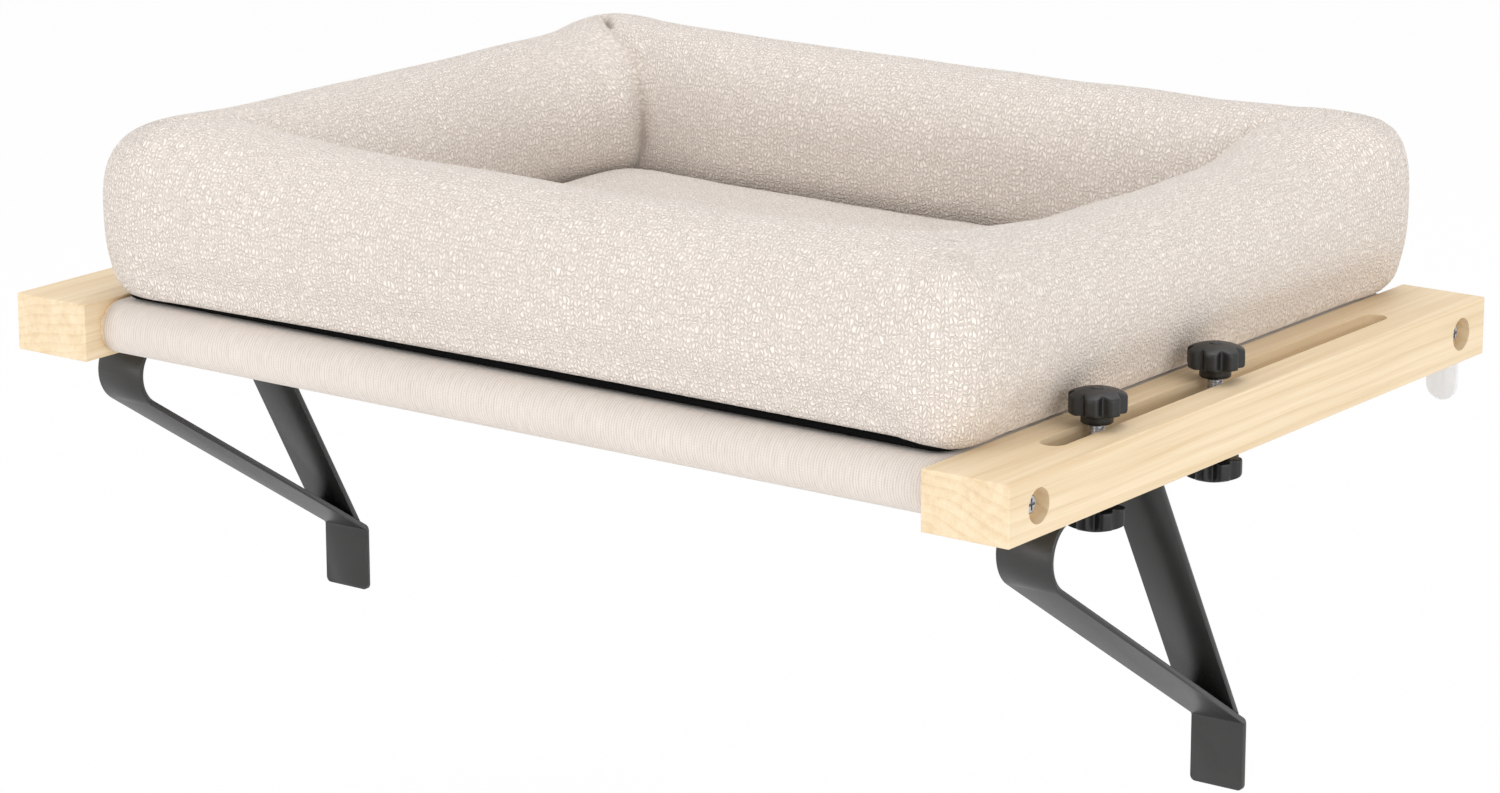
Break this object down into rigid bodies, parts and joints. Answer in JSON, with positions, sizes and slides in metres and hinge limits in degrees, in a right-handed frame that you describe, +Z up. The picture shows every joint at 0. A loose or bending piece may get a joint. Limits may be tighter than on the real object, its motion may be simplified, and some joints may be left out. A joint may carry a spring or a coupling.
{
  "type": "window mounted cat perch",
  "caption": "Bolstered cat bed on a cloth sling between wooden rails that rest on a window sill, held by sliding strip-steel brackets with star knobs.",
  "frame": {"origin": "mid-width, on the wall plane that the bracket plates press on, at the level of the sill that the rails' undersides rest on", "axes": "+X along the window to the right seen from the room, +Y from the room towards the window, +Z up"},
  "size_m": [0.616, 0.4455, 0.3046],
  "materials": {
    "rail_wood": "satin",
    "dowel_wood": "satin",
    "sling_cloth": "matte",
    "bed_cloth": "matte",
    "bed_underside": "matte",
    "bracket_paint": "satin",
    "knob_plastic": "matte",
    "tab_plastic": "satin",
    "zinc": "bright",
    "insert_brass": "satin"
  },
  "bodies": {
    "frame": {"left_rail": "rail_wood", "right_rail": "rail_wood", "front_dowel": "dowel_wood", "rear_dowel": "dowel_wood", "sling": "sling_cloth", "dowel_screws": "zinc", "tab_screws": "zinc"},
    "left_bracket": {"left_bracket_strip": "bracket_paint", "left_bracket_brace": "bracket_paint"},
    "left_tab": {"left_sill_tab": "tab_plastic"},
    "left_front_stud": {"left_front_stud": "zinc"},
    "left_front_upper_knob": {"left_front_upper_knob": "knob_plastic"},
    "left_front_lower_knob": {"left_front_lower_knob": "knob_plastic", "left_front_insert": "insert_brass"},
    "left_rear_stud": {"left_rear_stud": "zinc"},
    "left_rear_upper_knob": {"left_rear_upper_knob": "knob_plastic"},
    "left_rear_lower_knob": {"left_rear_lower_knob": "knob_plastic", "left_rear_insert": "insert_brass"},
    "right_bracket": {"right_bracket_strip": "bracket_paint", "right_bracket_brace": "bracket_paint"},
    "right_tab": {"right_sill_tab": "tab_plastic"},
    "right_front_stud": {"right_front_stud": "zinc"},
    "right_front_upper_knob": {"right_front_upper_knob": "knob_plastic"},
    "right_front_lower_knob": {"right_front_lower_knob": "knob_plastic", "right_front_insert": "insert_brass"},
    "right_rear_stud": {"right_rear_stud": "zinc"},
    "right_rear_upper_knob": {"right_rear_upper_knob": "knob_plastic"},
    "right_rear_lower_knob": {"right_rear_lower_knob": "knob_plastic", "right_rear_insert": "insert_brass"},
    "bed": {"bed_base": "bed_underside", "bed_front_bolster": "bed_cloth", "bed_rear_bolster": "bed_cloth", "bed_left_bolster": "bed_cloth", "bed_right_bolster": "bed_cloth", "bed_pad": "bed_cloth"}
  },
  "joints": [
    {"name": "left_bracket_slide", "type": "slide", "parent": "frame", "child": "left_bracket", "axis": [0, 1, 0], "range_m": [-0.0385, 0.1555]},
    {"name": "left_tab_turn", "type": "hinge", "parent": "frame", "child": "left_tab", "pos_m": [-0.284, 0.2137, 0.015], "axis": [0, 1, 0], "range_deg": [-90, 90]},
    {"name": "left_front_stud_travel", "type": "slide", "parent": "left_bracket", "child": "left_front_stud", "axis": [0, 0, 1], "range_m": [-0.00125, 0.00125]},
    {"name": "left_front_upper_knob_turn", "type": "hinge", "parent": "left_front_stud", "child": "left_front_upper_knob", "pos_m": [-0.284, -0.1175, 0.0316], "axis": [0, 0, 1], "range_deg": [-370, 370]},
    {"name": "left_front_lower_knob_turn", "type": "hinge", "parent": "left_bracket", "child": "left_front_lower_knob", "pos_m": [-0.284, -0.1175, -0.0036], "axis": [0, 0, 1], "continuous": true},
    {"name": "left_rear_stud_travel", "type": "slide", "parent": "left_bracket", "child": "left_rear_stud", "axis": [0, 0, 1], "range_m": [-0.00125, 0.00125]},
    {"name": "left_rear_upper_knob_turn", "type": "hinge", "parent": "left_rear_stud", "child": "left_rear_upper_knob", "pos_m": [-0.284, -0.0125, 0.0316], "axis": [0, 0, 1], "range_deg": [-370, 370]},
    {"name": "left_rear_lower_knob_turn", "type": "hinge", "parent": "left_bracket", "child": "left_rear_lower_knob", "pos_m": [-0.284, -0.0125, -0.0036], "axis": [0, 0, 1], "continuous": true},
    {"name": "right_bracket_slide", "type": "slide", "parent": "frame", "child": "right_bracket", "axis": [0, 1, 0], "range_m": [-0.0385, 0.1555]},
    {"name": "right_tab_turn", "type": "hinge", "parent": "frame", "child": "right_tab", "pos_m": [0.284, 0.2137, 0.015], "axis": [0, 1, 0], "range_deg": [-90, 90]},
    {"name": "right_front_stud_travel", "type": "slide", "parent": "right_bracket", "child": "right_front_stud", "axis": [0, 0, 1], "range_m": [-0.00125, 0.00125]},
    {"name": "right_front_upper_knob_turn", "type": "hinge", "parent": "right_front_stud", "child": "right_front_upper_knob", "pos_m": [0.284, -0.1175, 0.0316], "axis": [0, 0, 1], "range_deg": [-370, 370]},
    {"name": "right_front_lower_knob_turn", "type": "hinge", "parent": "right_bracket", "child": "right_front_lower_knob", "pos_m": [0.284, -0.1175, -0.0036], "axis": [0, 0, 1], "continuous": true},
    {"name": "right_rear_stud_travel", "type": "slide", "parent": "right_bracket", "child": "right_rear_stud", "axis": [0, 0, 1], "range_m": [-0.00125, 0.00125]},
    {"name": "right_rear_upper_knob_turn", "type": "hinge", "parent": "right_rear_stud", "child": "right_rear_upper_knob", "pos_m": [0.284, -0.0125, 0.0316], "axis": [0, 0, 1], "range_deg": [-370, 370]},
    {"name": "right_rear_lower_knob_turn", "type": "hinge", "parent": "right_bracket", "child": "right_rear_lower_knob", "pos_m": [0.284, -0.0125, -0.0036], "axis": [0, 0, 1], "continuous": true},
    {"name": "bed_lift", "type": "slide", "parent": "frame", "child": "bed", "axis": [0, 0, 1], "range_m": [0, 0.15]}
  ],
  "couplings": [
    {"joint": "left_front_upper_knob_turn", "follows": "left_front_stud_travel", "rad_per_m": 5026.5},
    {"joint": "left_rear_upper_knob_turn", "follows": "left_rear_stud_travel", "rad_per_m": 5026.5},
    {"joint": "right_front_upper_knob_turn", "follows": "right_front_stud_travel", "rad_per_m": 5026.5},
    {"joint": "right_rear_upper_knob_turn", "follows": "right_rear_stud_travel", "rad_per_m": 5026.5}
  ]
}
